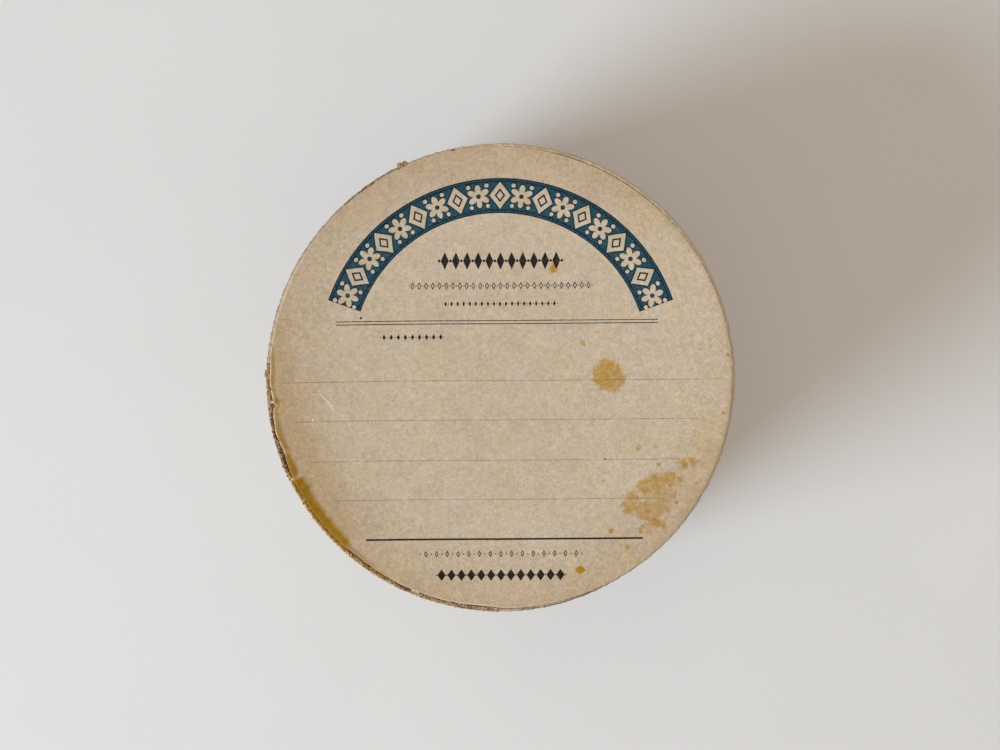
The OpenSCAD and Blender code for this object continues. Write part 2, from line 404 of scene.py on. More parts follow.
def makeDisc(name, s, material, body, replaced):
    a0 = turn(s["steps"])
    edge = s["edge"](a0)
    span = s["r"] - s["innerR"]
    shares = [(q - s["innerR"]) / span for q in s["lines"]]
    r, a, faces = discSheet(s["steps"], s["innerR"], edge, shares)
    edgeHere = np.interp(a, np.append(a0, 2 * math.pi), np.append(edge, edge[0]))
    gap = edgeHere - r
    flat = roundPoints(r, a, 0.0)
    wavy = cloud(flat, s["cockleSize"], s["seed"]) + 0.25 * cloud(flat, s["cockleSize"] / 4, s["seed"] + 1)
    lift = s["cockle"] * wavy + s["cockle"] * s["away"]
    lift = lift - s["dip"] * ease((s["tabsTo"] - r) / s["dipWide"])
    off = np.abs((a + tabPitch / 2) % tabPitch - tabPitch / 2) * r  # distance from the nearest notch
    notchEnd = 43.25
    half = 1.5 * np.clip((notchEnd - r) / 4.4, 0, 1) * (r > s["tabsTo"])  # of the notch here
    lift = lift - s["notchSink"] * ease((half + 0.5 - off) / 0.9) * (half > 0)
    if s["turned"]:
        lift = lift - 0.10 * byAngle(a, s["turned"]) * ease(1 - gap / 0.42)  # its edge is turned down
    front = s["z"] + s["up"] * lift
    marks = {"edgeGap": gap}
    for key in ("edgeLight", "edgeStain", "stainStrength", "aged"):
        if key in s:
            marks[key] = byAngle(a, s[key])
    sides = [roundPoints(r, a, front), roundPoints(r, a, front - s["up"] * s["thick"])]
    return addPiece(name, sides, faces, material, body, replaced, bothSides(marks))


# Paper over the neck

def makeNeckPaper(name, s, material, body, replaced):
    steps, outR, inR, top, q = s["steps"], s["r"], s["inR"], s["top"], s["round"]
    path = Profile().line((outR, s["outFrom"]), (outR, top - q), (1, 0)).mark("outEnd")
    path.bend((outR - q, top - q), q, 0, 90).bend((inR + q, top - q), q, 90, 180).mark("inStart")
    path.line((inR, top - q), (inR, s["inTo"]), (-1, 0)).mark("end")
    m = path.marks
    middle = (m["outEnd"] + m["inStart"]) / 2
    a0 = turn(steps)
    worn = zones(a0, s["worn"])
    some = np.minimum(worn * 3, 1)
    torn = [tornLine(a0, s["seed"] + k, (90, 0.12), (360, 0.08)) * some for k in range(2)]
    down, up = middle - 0.05 - worn * s["wear"][0] + torn[0], middle + 0.05 + worn * s["wear"][1] + torn[1]
    counts = [9, 6, 1, 6, 14]
    stops = [0, m["outEnd"] - 0.5, down, up, m["inStart"] + 0.6, m["end"]]
    along = spread([stop + 0 * a0 for stop in stops], counts)
    r, z, nr, nz = path.read(along)
    a = a0[:, None] + 0 * along
    where = roundPoints(r, a, z)
    lift = s["wave"] * cloud(where, s["waveSize"], s["seed"])
    lift = lift + 0.3 * s["wave"] * cloud(where, 2.0, s["seed"] + 1, 2)
    turned = ease(1 - np.abs(along - m["inStart"] - 1.5) / 3.5)  # creases where it goes over the edge
    lift = lift + s["crease"] * turned * np.sin(a * 67 + 3 * np.sin(a * 7) + 2 * np.sin(a * 19))
    lap = lapAt(a, s["seam"])
    lift = lift * ease(along / 2) + lap * paper
    back = lift * (1 - 0.9 * lap) - paper
    sides = [roundPoints(r + nr * d, a, z + nz * d) for d in (lift, back)]
    holes = np.zeros((steps, along.shape[1] - 1), bool)
    holes[:, sum(counts[:2])] = np.maximum(worn, np.roll(worn, -1)) > coverMake["gone"]
    near = np.abs(along - middle)
    marks = {
        "worn": worn[:, None] * np.exp(-near / 1.0),
        "rubbed": np.exp(-(near / 1.1) ** 2),
        "seam": np.minimum(np.abs(np.degrees(a) % 360 - s["seam"][1]), 2),
    }
    faces = sheetFaces(*along.shape, holes)
    return addPiece(name, sides, faces, material, body, replaced, bothSides(marks))


# Strawboard ring of the lid, frayed where its paper has gone

def makeLidBoard(name, s, material, body, replaced):
    steps, outR, bore, low, top, q = s["steps"], s["r"], s["bore"], s["low"], s["top"], s["round"]
    path = Profile().line((bore, top), (outR - q, top), (0, 1)).mark("faceEnd")
    path.bend((outR - q, top - q), q, 90, 0).mark("wallStart")
    path.line((outR, top - q), (outR, low + q), (1, 0)).mark("wallEnd")
    path.bend((outR - q, low + q), q, 0, -90).bend((bore + q, low + q), q, -90, -180).mark("boreStart")
    path.line((bore, low + q), (bore, top), (-1, 0)).mark("end")
    m = path.marks
    frayEnd = m["wallStart"] + s["frayDown"]
    stops = [0.0, 0.15, m["faceEnd"], m["wallStart"], frayEnd, m["wallEnd"], m["boreStart"], m["end"]]
    along = spread([np.full(steps, stop) for stop in stops], [1, 12, 8, 9, 3, 6, 3])[:, :-1]
    r, z, nr, nz = path.read(along)
    a = turn(steps)[:, None] + 0 * along
    r = r + outOfRound(a, r)
    where = roundPoints(r, a, z)
    worn = rimWornAt(turn(steps))[:, None]
    rough = worn * ease((along - 0.2) / 0.25) * ease((frayEnd - along) / 0.6)
    layers = np.sin(z / 0.055 + 5 * cloud(where, 3.0, 61, 2)) * (nr > 0.2)
    lift = rough * (s["fray"] * cloud(where, 0.55, 62, 3) + 0.5 * s["fray"] * cloud(where, 0.17, 63, 2)
                    + 0.03 * layers + 0.14)
    crack = np.exp(-((r - labelRadius(turn(steps))[:, None] - 0.06) / 0.09) ** 2) * (nz > 0.5)
    broken = np.clip(0.6 + 1.4 * cloud(where, 1.3, 64, 2), 0, 1)
    lift = lift - s["crack"] * worn * crack * broken
    points = roundPoints(r + nr * lift, a, z + nz * lift)
    turns, lines = along.shape
    i, j = np.meshgrid(np.arange(turns), np.arange(lines), indexing="ij")
    row, nextRow, nextLine = i * lines, (i + 1) % turns * lines, (j + 1) % lines
    faces = np.stack([row + j, row + nextLine, nextRow + nextLine, nextRow + j], -1).reshape(-1, 4).tolist()
    deep = byAngle(turn(steps), wear["crackShadeAndDirt"])[:, None]
    marks = {"crack": worn * crack * broken * deep, "frayed": rough, "dark": byAngle(a, wear["boardDark"]),
             "oiled": byAngle(a, wear["boardOiled"])}
    return addPiece(name, points, faces, material, body, replaced, marks)


# Loose fibres, flakes and crumbs along the worn rim

lidR = 45.0  # the lid's outside, before wear
slopeFrom = 44.6  # outside this radius the worn edge falls away


def thread(rng, start, heading, length, thick, curl, sides=4, parts=6):  # one fibre as a thin closed tube
    points, faces, at = [], [], np.array(start, float)
    heading = np.array(heading, float)
    for k in range(parts):
        heading = heading + rng.normal(0, curl, 3)
        heading /= np.linalg.norm(heading)
        side = np.cross(heading, (0.31, 0.2, 0.93))
        side /= np.linalg.norm(side)
        other = np.cross(heading, side)
        radius = thick * (1 - 0.75 * k / (parts - 1))
        for n in range(sides):
            turnAt = 2 * math.pi * n / sides
            points.append(at + radius * (math.cos(turnAt) * side + math.sin(turnAt) * other))
        if k:
            low, high = (k - 1) * sides, k * sides
            faces += [[low + n, low + (n + 1) % sides, high + (n + 1) % sides, high + n]
                      for n in range(sides)]
        at = at + heading * length / (parts - 1)
    faces += [list(range(sides))[::-1], [(parts - 1) * sides + n for n in range(sides)]]
    return points, faces


def pick(rng, rows):  # an angle from zones of (start, end, weight)
    weights = np.array([row[2] for row in rows], float)
    start, end, _ = rows[rng.choice(len(rows), p=weights / weights.sum())]
    return rng.uniform(start, end)


def makeFibres(name, s, material, body):
    rng = np.random.default_rng(s["seed"])
    points, faces, tone = [], [], []
    for _ in range(s["count"]):
        deg = pick(rng, s["zones"])
        a = math.radians(deg)
        r = rng.uniform(*s["from"])
        z = s["z"] + rng.uniform(-0.15, 0.1) - 0.5 * max(0, r - slopeFrom)
        r += outOfRound(a, lidR)
        lean = rng.normal(0, 1.0)
        out = np.array((math.cos(a), math.sin(a), 0.0))
        along = np.array((-math.sin(a), math.cos(a), 0.0))
        heading = out * rng.uniform(-0.1, 0.8) + along * lean + np.array((0, 0, rng.uniform(-0.4, 0.25)))
        length = min(rng.lognormal(math.log(s["length"]), 0.45), s["longest"])
        made, madeFaces = thread(rng, (r * math.cos(a), r * math.sin(a), z), heading, length,
                                 rng.uniform(*s["thick"]), 0.22)
        faces += [[k + len(points) for k in face] for face in madeFaces]
        points += made
        tone += [rng.uniform(0, 1)] * len(made)
    return addPiece(name, points, faces, material, body, (), {"tone": tone}, sharp=80)


def makeCrumbs(name, s, material, body):  # small lumps of pulp that cling to the edge
    rng = np.random.default_rng(s["seed"])
    lump = bmesh.new()
    bmesh.ops.create_icosphere(lump, subdivisions=2, radius=1)
    shape = np.array([v.co for v in lump.verts])
    shapeFaces = [[v.index for v in f.verts] for f in lump.faces]
    lump.free()
    points, faces, tone = [], [], []
    for k in range(s["count"]):
        a = math.radians(pick(rng, s["zones"]))
        r = rng.uniform(*s["from"])
        size = rng.lognormal(math.log(s["size"]), 0.35)
        size = size * np.array((rng.uniform(0.7, 1.8), 1, rng.uniform(0.5, 0.8)))  # longer than high
        bumps = 1 + 0.35 * cloud(shape * 1.3 + k, 1.0, 71, 2)
        made = shape * bumps[:, None] * size
        swing = a + rng.uniform(-0.7, 0.7) + math.pi / 2
        c, n = math.cos(swing), math.sin(swing)
        made = made @ np.array([(c, n, 0), (-n, c, 0), (0, 0, 1)])
        z = s["z"] - 0.6 * max(0, r - slopeFrom) + rng.uniform(-0.05, 0.04)
        r += outOfRound(a, lidR)
        made = made + np.array((r * math.cos(a), r * math.sin(a), z))
        faces += [[v + len(points) for v in face] for face in shapeFaces]
        points += made.tolist()
        tone += [rng.uniform(0, 1)] * len(made)
    return addPiece(name, points, faces, material, body, (), {"tone": tone}, sharp=80)


def makeFlakes(name, s, material, body):  # scraps of paper and board that stand off the rim
    points, faces, tone = [], [], []
    across, outward = 31, 13
    for n, flake in enumerate(s["flakes"]):
        u = np.linspace(-1, 1, across)[:, None] + np.zeros((1, outward))
        v = np.linspace(0, 1, outward)[None, :] + np.zeros((across, 1))
        rag = cloud(np.stack([u * 3, v * 0, v * 0 + n], -1), 0.7, 81 + n, 4)
        bulge = np.sqrt(np.clip(1 - 0.75 * u ** 2, 0, 1))
        reach = flake["root"] + flake["out"] * bulge + (0.2 * abs(flake["out"]) + 0.06) * rag
        r = lidR - flake["root"] + v * reach
        sideways = u * (1 - 0.25 * v) + 0.12 * cloud(np.stack([v, u, u], -1), 1.0, 84 + n)
        a = math.radians(flake["at"]) + sideways * flake["wide"] / 2 / lidR
        crumple = cloud(np.stack([u * flake["wide"], v * 2, 0 * u], -1), 0.8, 87 + n, 3)
        z = flake["z"] + flake["rise"] * v ** 1.5 + flake["crumple"] * crumple * ease(v * 3)
        sides = [roundPoints(r, a, z), roundPoints(r, a, z - flake["thick"])]
        made = np.array(sides).reshape(-1, 3)
        faces += [[k + len(points) for k in face] for face in sheetFaces(across, outward, None, closed=False)]
        points += made.tolist()
        tone += [flake["tone"]] * len(made)
    return addPiece(name, points, faces, material, body, (), {"tone": tone}, sharp=60)


# Nodes

origin = (0.0, 0.0, 0.0)


class Value:  # a number in a node tree that can be added, scaled and compared
    def __init__(self, tree, socket):
        self.tree, self.socket = tree, socket

    def op(self, kind, *others):
        made = self.tree.nodes.new("ShaderNodeMath")
        made.operation = kind
        for socket, value in zip(made.inputs, (self, *others)):
            plug(self.tree, socket, value)
        return Value(self.tree, made.outputs[0])

    def __add__(self, other):
        return self.op("ADD", other)

    def __sub__(self, other):
        return self.op("SUBTRACT", other)

    def __neg__(self):
        return self * -1.0

    def __rsub__(self, other):
        return -self + other

    def __mul__(self, other):
        return self.op("MULTIPLY", other)

    def __truediv__(self, other):
        return self.op("DIVIDE", other)

    def __abs__(self):
        return self.op("ABSOLUTE")

    def least(self, other):
        return self.op("MINIMUM", other)

    def most(self, other):
        return self.op("MAXIMUM", other)

    def fade(self, start, end, first=1.0, last=0.0):  # first at start, last at end, soft between
        made = self.tree.nodes.new("ShaderNodeMapRange")
        made.interpolation_type = "SMOOTHSTEP"
        for socket, value in zip(made.inputs, (self, start, end, first, last)):
            plug(self.tree, socket, value)
        return Value(self.tree, made.outputs[0])

    def rise(self, start, end, last=1.0):  # nothing at start, last at end
        return self.fade(start, end, 0.0, last)


def gather(kind, values):  # the MINIMUM or the MAXIMUM of several values
    found = values[0]
    for other in values[1:]:
        found = found.op(kind, other)
    return found


def plug(tree, socket, value):
    value = value.socket if isinstance(value, Value) else value
    if isinstance(value, bpy.types.NodeSocket):
        tree.links.new(value, socket)
    else:
        socket.default_value = value


def addNode(tree, kind, inputs=None, **settings):
    made = tree.nodes.new("ShaderNode" + kind)
    for key, value in settings.items():
        setattr(made, key, value)
    for key, value in (inputs or {}).items():
        plug(tree, made.inputs[key], value)
    return made


def vectorMath(tree, kind, first, second):
    inputs = {0: first, ("Scale" if kind == "SCALE" else 1): second}
    return addNode(tree, "VectorMath", inputs, operation=kind).outputs[0]


def axes(tree, vector):  # its x, y and z
    return [Value(tree, part) for part in addNode(tree, "SeparateXYZ", {0: vector}).outputs]


def grain(tree, place, size, detail=3.0, rough=0.55, twist=0.0):  # noise of a size in millimetres, 0 to 1
    scale = size.op("POWER", -1.0) if isinstance(size, Value) else 1 / size
    made = addNode(tree, "TexNoise", {"Vector": place, "Scale": scale, "Detail": detail, "Roughness": rough,
                                      "Distortion": twist})
    return Value(tree, made.outputs[0])


def stretched(tree, place, factors):  # coordinates drawn out along some axes
    return vectorMath(tree, "MULTIPLY", place, factors)


def blend(tree, share, first, second, kind="MIX"):
    made = tree.nodes.new("ShaderNodeMix")
    made.data_type, made.blend_type = "RGBA", kind
    for k, value in ((0, share), (6, first), (7, second)):  # the colour sockets of the mix node
        plug(tree, made.inputs[k], value if not isinstance(value, tuple) else (*value, 1))
    return made.outputs[2]


def newGroup(name, inputs):  # a node group and what it reads, with the first values
    tree = bpy.data.node_groups.new(name, "ShaderNodeTree")
    for key, start in inputs.items():
        kind = "NodeSocketVector" if isinstance(start, tuple) else "NodeSocketFloat"
        tree.interface.new_socket(key, in_out="INPUT", socket_type=kind).default_value = start
    enter = tree.nodes.new("NodeGroupInput")
    return tree, {key: Value(tree, enter.outputs[key]) for key in inputs}


def giveOut(tree, outputs):
    for key in outputs:
        tree.interface.new_socket(key, in_out="OUTPUT", socket_type="NodeSocketFloat")
    leave = tree.nodes.new("NodeGroupOutput")
    for key, value in outputs.items():
        plug(tree, leave.inputs[key], value)
    return tree


def pulpGroup():  # what makes paper and board look pressed from fibres
    tree, read = newGroup("paper pulp", {"Place": origin, "Mottle size": 2.0, "Fibre size": 0.3})
    place, mottleSize, fibreSize = read.values()
    mottle = grain(tree, place, mottleSize, 5.0, 0.62)
    patch = grain(tree, place, mottleSize * 3.1, 3.0, 0.6)
    tint = grain(tree, stretched(tree, place, (-0.8, 1.1, 0.9)), mottleSize * 5.0, 5.0, 0.7)
    fibre = grain(tree, place, fibreSize, 3.0, 0.6, 0.8)
    fleck = grain(tree, place, fibreSize * 2.0, 2.0, 0.5)
    strands = [grain(tree, stretched(tree, place, way), fibreSize, 2.0, 0.5, 1.2)
               for way in ((1.0, 0.22, 1.0), (0.22, 1.0, 1.0))]
    hair = gather("MAXIMUM", [abs(strand - 0.5).fade(0.0, 0.035) for strand in strands])
    return giveOut(tree, {
        "Mottle": mottle, "Patch": patch.rise(0.45, 0.68), "Tint": tint.rise(0.34, 0.66), "Fibre": fibre,
        "Fleck": fleck.rise(0.70, 0.78), "Glint": fleck.rise(0.30, 0.22), "Hair": hair,
        "Height": fibre * 0.6 + mottle * 0.3 + hair * 0.12})


def foxingGroup():  # round rusty spots and soft tide marks of old age
    tree, read = newGroup("age spots", {"Place": origin, "Spot size": 3.0, "Share": 0.2})
    place, spotSize, share = read.values()
    cells = addNode(tree, "TexVoronoi", {"Vector": place, "Scale": spotSize.op("POWER", -1.0)})
    away = Value(tree, cells.outputs["Distance"])
    chance = Value(tree, addNode(tree, "SeparateColor", {0: cells.outputs["Color"]}).outputs[0])
    ragged = grain(tree, place, spotSize * 0.25, 3.0)
    size = (share - chance).most(0.0) * 1.2
    spots = (away + ragged * 0.12 - 0.06 - size).fade(-0.05, 0.06)
    tide = grain(tree, place, spotSize * 5.0, 3.0, 0.55, 0.6)
    line = abs(tide - 0.56).fade(0.0, 0.02)
    return giveOut(tree, {"Spots": spots * (share - chance).rise(0.0, 0.03),
                          "Tide": tide.rise(0.5, 0.66, 0.75) + line * 0.25})


def blotGroup():  # one ragged drop that soaked in
    tree, read = newGroup("blot", {"Place": origin, "Centre": origin, "Size": 1.0, "Ragged": 0.5})
    place, centre, size, ragged = read.values()
    off = vectorMath(tree, "SUBTRACT", place, centre)
    bend = addNode(tree, "TexNoise", {"Vector": place, "Scale": 0.5, "Detail": 3.0}).outputs["Color"]
    bend = vectorMath(tree, "SUBTRACT", bend, (0.5, 0.5, 0.5))
    bent = vectorMath(tree, "ADD", off, vectorMath(tree, "SCALE", bend, size * 1.2))
    flat = stretched(tree, bent, (1.0, 1.0, 0.0))
    away = Value(tree, addNode(tree, "VectorMath", {0: flat}, operation="LENGTH").outputs["Value"])
    rag = grain(tree, place, 0.9, 6.0, 0.75) - 0.5
    inside = grain(tree, place, 0.8, 4.0, 0.7).fade(0.35, 0.55, 0.72, 1.0)
    return giveOut(tree, {"Soaked": (away / size + rag * ragged * 1.5).fade(0.60, 1.05) * inside})


def inkGroup():  # printer's ink from the distance to the edge of the type, negative inside
    tree, read = newGroup("printed ink", {"Place": origin, "Distance": 0.0, "Starved": 0.2})
    place, distance, starved = read.values()
    uneven = distance + (grain(tree, place, 0.22, 2.0) - 0.5) * 0.09
    pinholes = grain(tree, place, 0.16, 2.0, 0.5).rise(0.60, 0.72) * starved
    return giveOut(tree, {"Ink": uneven.fade(-0.04, 0.05) * (1.0 - pinholes),
                          "Squeezed": abs(uneven + 0.11).fade(0.05, 0.2)})


def wornGroup():  # where handling has rubbed a sheet bare and left grime
    tree, read = newGroup("edge wear", {"Place": origin, "Worn": 0.0, "Rubbed": 0.0, "Bare share": 0.3})
    place, worn, rubbed, bareShare = read.values()
    fine, broad = grain(tree, place, 0.35, 5.0, 0.75), grain(tree, place, 7.0, 3.0, 0.6)
    rub = rubbed * (broad.rise(0.38, 0.68) * 0.6 + fine * 0.7) * bareShare
    grime = (rubbed * 0.5 + worn * 0.8) * (fine * 0.7 + broad * 0.7)
    return giveOut(tree, {"Bare": (rub + worn * fine * 0.9).rise(0.28, 0.50), "Grime": grime.rise(0.1, 0.9)})


groups = {"pulp": pulpGroup(), "foxing": foxingGroup(), "blot": blotGroup(), "ink": inkGroup(),
          "worn": wornGroup()}
print("node groups:", ", ".join(groups))


# Materials

class Paint:  # a material, its place on the box in millimetres, and its colour so far
    def __init__(self, name, shine=0.3):
        self.material = bpy.data.materials.new(name)
        self.material.use_nodes = True
        self.tree = self.material.node_tree
        self.shader = self.tree.nodes["Principled BSDF"]
        self.shader.inputs["Specular IOR Level"].default_value = shine
        self.place = vectorMath(self.tree, "SCALE", addNode(self.tree, "TexCoord").outputs["Object"], 1 / mm)
        self.colour = None

    def grain(self, size, *look):
        return grain(self.tree, self.place, size, *look)

    def mark(self, name):  # a mark that the mesh carries
        return Value(self.tree, addNode(self.tree, "Attribute", attribute_name=name).outputs["Fac"])

    def use(self, name, inputs):
        made = addNode(self.tree, "Group", node_tree=groups[name])
        for key, value in {"Place": self.place, **inputs}.items():
            plug(self.tree, made.inputs[key], value)
        return {socket.name: Value(self.tree, socket) for socket in made.outputs}

    def mix(self, share, first, second):  # a colour of its own, between two
        return blend(self.tree, share, first, second)

    def lay(self, share, colour):  # a colour over the colour so far
        self.colour = blend(self.tree, share, self.colour, colour)

    def tint(self, share, colour):  # the colour so far, multiplied
        self.colour = blend(self.tree, share, self.colour, colour, "MULTIPLY")

    def finish(self, rough, height, depth):  # depth of the relief in millimetres
        self.tree.links.new(self.colour, self.shader.inputs["Base Color"])
        plug(self.tree, self.shader.inputs["Roughness"], rough)
        bump = addNode(self.tree, "Bump", {"Strength": 1.0, "Distance": depth * mm, "Height": height})
        self.tree.links.new(bump.outputs["Normal"], self.shader.inputs["Normal"])
        return self.material


def layPulp(paint, s):  # the mottled, fibrous colour of paper or board
    pulp = paint.use("pulp", {"Mottle size": s["mottle"], "Fibre size": s["fibre"]})
    paint.colour = paint.mix(pulp["Mottle"].rise(0.32, 0.68), s["light"], s["dark"])
    paint.lay(pulp["Patch"] * s["patches"], s["pink"])
    paint.tint(1.0, paint.mix(pulp["Tint"], *s["tints"]))
    paint.tint(pulp["Fibre"].rise(0.3, 0.7, s["fibreShare"]), s["shadeColour"])
    paint.lay(pulp["Fleck"] * s["flecks"], s["fleckColour"])
    for fine, share in (("Glint", "glints"), ("Hair", "hairs")):
        paint.lay(pulp[fine] * s[share], s["hairColour"])
    return pulp


def lozenge(u, v, wide, high):  # distance to a lozenge's edge, negative inside
    return (abs(u) / wide + abs(v) / high - 1.0) * (wide * high / math.hypot(wide, high))


def length(u, v):
    return (u * u + v * v).op("SQRT")


def spot(u, v, radius):
    return length(u, v) - radius


def bar(u, v, halfLong, halfHigh):
    return (abs(u) - halfLong).most(abs(v) - halfHigh)


def outlined(shape, thick):
    return abs(shape + thick / 2) - thick / 2


labelPrint = {
    "band": {"centre": (0.0, 3.07), "inner": 28.4, "outer": 35.12, "outerX": 0.15, "middle": 31.8,
             "reach": 70.5, "cells": 19, "inset": 0.62, "gem": (2.02, 2.62), "gemLine": 0.78,
             "heart": (0.66, 0.86), "petal": 1.30, "disc": 0.92, "eye": 0.44, "corner": (1.65, 1.95, 0.40)},
    "rows": [  # printer's ornaments: middle, cells, pitch, lozenge half size, line width if open, dot between
        {"at": (0.1, 22.3), "count": 11, "pitch": 2.14, "lozenge": (0.76, 1.7), "open": 0, "dot": 0.26},
        {"at": (0.1, 17.5), "count": 27, "pitch": 1.3, "lozenge": (0.40, 0.72), "open": 0.14, "dot": 0.10},
        {"at": (0.0, 14.05), "count": 19, "pitch": 1.16, "lozenge": (0.26, 0.5), "open": 0, "dot": 0.09},
        {"at": (-16.8, 7.7), "count": 9, "pitch": 1.36, "lozenge": (0.34, 0.55), "open": 0, "dot": 0.10},
        {"at": (0.2, -33.95), "count": 15, "pitch": 2.06, "lozenge": (0.36, 0.66), "open": 0.15, "dot": 0.13},
        {"at": (0.2, -38.0), "count": 13, "pitch": 1.9, "lozenge": (0.80, 1.12), "open": 0, "dot": 0.13},
    ],
    # height on the label, start, end and half width
    "rules": [(10.82, -31.5, 30.3, 0.072), (10.22, -31.5, 30.3, 0.078), (-31.12, -25.7, 27.4, 0.175)],
    "writingLines": [(-0.70, -41.6, 42.6), (-8.25, -39.1, 38.2), (-16.0, -35.9, 34.5), (-23.5, -31.7, 31.5)],
    "writingHalf": 0.035,
    "bowed": 0.00028, "leaning": 0.0085,  # the sheet lies a little askew: its left and its right half
    "starved": 0.35,  # share of the ink that the pinholes take away
    "bandInk": (0.010, 0.062, 0.094),
    "bandPale": (0.040, 0.125, 0.150),
    "bandRim": (0.001, 0.006, 0.018),
    "typeInk": (0.002, 0.002, 0.004),
    "lineInk": (0.16, 0.14, 0.125),
}

labelLook = {
    "light": (0.666, 0.570, 0.437), "dark": (0.530, 0.446, 0.331), "mottle": 0.80, "fibre": 0.21,
    "pink": (0.615, 0.487, 0.365), "patches": 0.70, "tints": ((1.0, 1.0, 1.03), (1.010, 0.99, 0.905)),
    "fibreShare": 1.0, "shadeColour": (0.73, 0.71, 0.68), "flecks": 0.75, "fleckColour": (0.28, 0.19, 0.12),
    "glints": 0.7, "hairs": 0.12, "hairColour": (0.74, 0.65, 0.52),
    "tone": 0.842, "toneRight": 0.0012, "toneUp": 0.0004, "toneBroad": 0.10, "toneFine": 0.20,
    "stain": (0.775, 0.512, 0.045), "edgeStain": (0.61, 0.445, 0.008), "scratch": (0.82, 0.74, 0.58),
    # the colour of the label's cut edge: its pale core and a painted highlight
    "edgeCoreAndHighlight": (0.72, 0.58, 0.41), "brown": (0.84, 0.745, 0.61), "handled": (0.78, 0.68, 0.54),
    "speck": (0.06, 0.025, 0.02),
    "spills": [  # x, y and radius of the rounds that ran together
        {"rounds": [(20.6, 0.45, 2.95), (21.4, -0.3, 2.6)], "strong": 0.84, "rag": 1.5},
        {"rounds": [(30.3, -23.4, 2.9), (32.6, -22.3, 1.5)], "strong": 0.52, "rag": 2.6},
        {"rounds": [(24.6, -24.7, 1.7), (25.7, -22.8, 1.2), (27.7, -21.3, 1.4), (28.1, -20.0, 0.7),
                    (30.3, -20.4, 1.7), (32.6, -19.6, 1.3), (34.2, -19.7, 0.7), (27.5, -25.6, 1.6),
                    (29.6, -27.9, 1.4), (31.1, -28.0, 0.7), (35.3, -16.9, 1.2), (36.8, -16.3, 0.9),
                    (26.8, -29.5, 0.5)], "strong": 0.75, "rag": 2.3},
    ],
    "drops": [  # x, y, size, ragged, strength
        (15.4, -37.0, 0.9, 0.5, 1.25), (15.9, 6.5, 0.62, 0.5, 0.8), (10.4, 20.9, 1.0, 0.8, 0.95),
        (26.6, -13.6, 0.62, 0.5, 0.82), (29.8, -13.5, 0.5, 0.6, 0.45), (30.4, -16.7, 0.45, 0.5, 0.8),
        (43.0, -6.9, 0.5, 0.6, 0.8), (43.7, 4.2, 0.5, 0.6, 0.8), (21.3, -29.5, 0.65, 0.5, 0.8),
        (24.6, -32.7, 0.62, 0.6, 0.7), (33.9, -24.1, 0.45, 0.6, 0.8), (37.8, -20.3, 0.5, 0.6, 0.45),
        (19.7, -20.0, 0.35, 0.5, 0.6), (-42.9, -4.6, 0.75, 0.8, 0.6), (-42.0, -4.5, 0.55, 0.6, 0.4)],
    "specks": [(-26.7, 11.3, 0.28), (20.2, -15.7, 0.2)],
    "paleSpecks": [(-35.9, -8.3, 0.22), (-42.6, -6.6, 0.15)],
    "scratchAt": (-33.1, -4.7), "scratchWay": (0.66, 0.75), "scratchBow": 0.05, "scratchHalf": (2.1, 0.05),
    "relief": 0.030,
}


def bandShapes(x, y, s):  # distance to the band's edge and to the ornaments left in paper colour
    dx, dy = x - s["centre"][0], y - s["centre"][1]
    out, swing = length(dx, dy), dx.op("ARCTAN2", dy)
    reach = math.radians(s["reach"])
    edge = (s["inner"] - out).most(spot(dx - s["outerX"], dy, s["outer"])).most((abs(swing) - reach) * out)
    pitch = 2 * reach / s["cells"]
    turnOff = swing.op("WRAP", pitch / 2, -pitch / 2)
    u, v = turnOff * s["middle"], out - s["middle"]
    odd = abs(((swing - turnOff) / pitch).op("ROUND")).op("MODULO", 2.0)
    gem = outlined(lozenge(u, v, *s["gem"]), s["gemLine"]).least(lozenge(u, v, *s["heart"]))
    leaf = v.op("ARCTAN2", u) * 3.0
    flower = length(u, v) - (abs(leaf.op("SINE")) * s["petal"] + s["disc"])
    cornerX, cornerY, cornerSize = s["corner"]
    flower = flower.most(-spot(u, v, s["eye"])).least(spot(abs(u) - cornerX, abs(v) - cornerY, cornerSize))
    return edge, gem * (1.0 - odd) + flower * odd


def typeRow(x, y, row):
    shift = 0 if row["count"] % 2 else row["pitch"] / 2
    u = (x - (row["at"][0] + shift)).op("WRAP", row["pitch"] / 2, -row["pitch"] / 2)
    v = y - row["at"][1]
    shape = lozenge(u, v, *row["lozenge"])
    if row["open"]:
        shape = outlined(shape, row["open"])
    shape = shape.least(spot(abs(u) - row["pitch"] / 2, v, row["dot"]))
    return shape.most(abs(x - row["at"][0]) - (row["count"] * row["pitch"] / 2 + row["dot"]))


def rule(x, y, height, start, end, half):
    return bar(x - (start + end) / 2, y - height, (end - start) / 2, half)


def printBand(paint, x, y, p, printed):
    edge, ornament = bandShapes(x, y, p["band"])
    band = paint.use("ink", {"Distance": edge.most(-ornament), "Starved": p["starved"]})
    dark = band["Squeezed"].most(abs(edge + p["band"]["inset"]).fade(0.08, 0.17))
    blotchy = paint.grain(0.45, 4.0, 0.7)
    ink = paint.mix(blotchy.rise(0.52, 0.75, 0.8), p["bandInk"], p["bandPale"])
    ink = paint.mix(blotchy.fade(0.25, 0.45, 0.65, 0.0), ink, p["bandRim"])
    paint.lay(band["Ink"] * printed, paint.mix(dark * 0.9, ink, p["bandRim"]))
    return band["Ink"]


